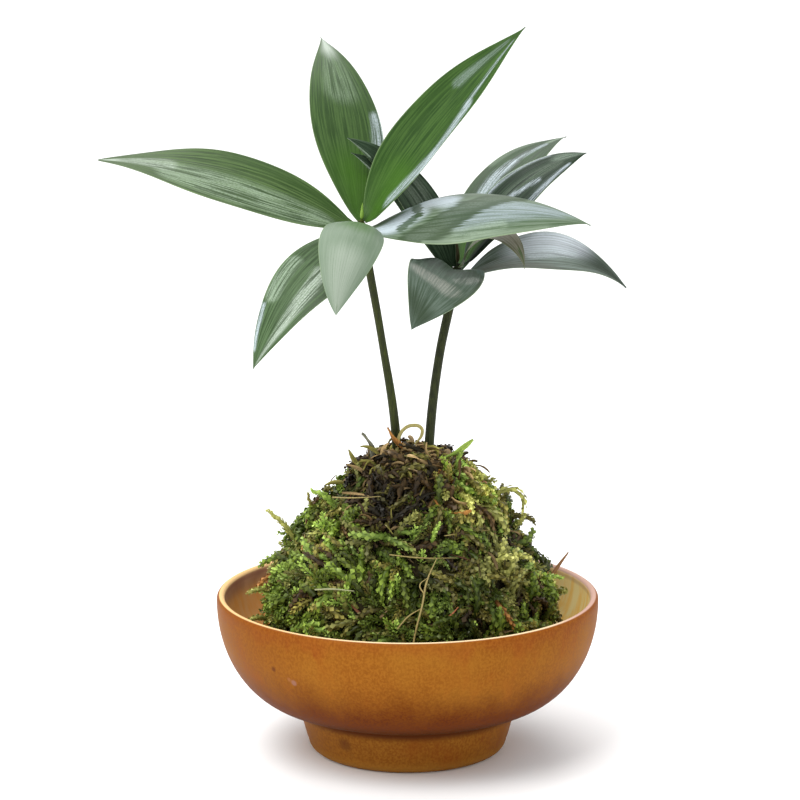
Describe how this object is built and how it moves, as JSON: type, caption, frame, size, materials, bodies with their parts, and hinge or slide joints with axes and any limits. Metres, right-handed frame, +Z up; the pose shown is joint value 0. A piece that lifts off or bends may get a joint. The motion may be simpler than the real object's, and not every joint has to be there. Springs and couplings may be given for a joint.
{
  "type": "kokedama moss ball plant",
  "caption": "Moss ball with leafy seedlings growing from its top, standing in a shallow glazed ceramic bowl on a raised foot.",
  "frame": {"origin": "on the bowl's axis, at the surface that its foot stands on", "axes": "+Z up along the bowl's axis, -Y towards the front, from which the taller seedling leans left and forwards, +X to the right"},
  "size_m": [0.1736, 0.1468, 0.2472],
  "materials": {
    "glaze": "satin",
    "soil": "matte",
    "green_moss": "matte",
    "dead_moss": "matte",
    "left_stem": "satin",
    "right_stem": "satin",
    "bud": "satin",
    "left_leaf": "satin",
    "right_leaf": "satin"
  },
  "bodies": {
    "root": {"bowl": "glaze", "soil_ball": "soil", "moss_coat": "green_moss", "moss_crown": "dead_moss", "stem_left": "left_stem", "stem_right": "right_stem", "terminal_bud_left": "bud", "terminal_bud_right": "bud", "left_plant_back_leaf": "left_leaf", "left_plant_upright_leaf": "left_leaf", "left_plant_side_leaf": "left_leaf", "left_plant_front_leaf": "left_leaf", "left_plant_low_leaf": "left_leaf", "left_plant_crossing_leaf": "left_leaf", "right_plant_arching_leaf": "right_leaf", "right_plant_under_leaf": "right_leaf", "right_plant_back_leaf": "right_leaf", "right_plant_upright_leaf": "right_leaf", "right_plant_side_leaf": "right_leaf", "right_plant_front_leaf": "right_leaf", "right_plant_short_leaf": "right_leaf"}
  },
  "joints": []
}
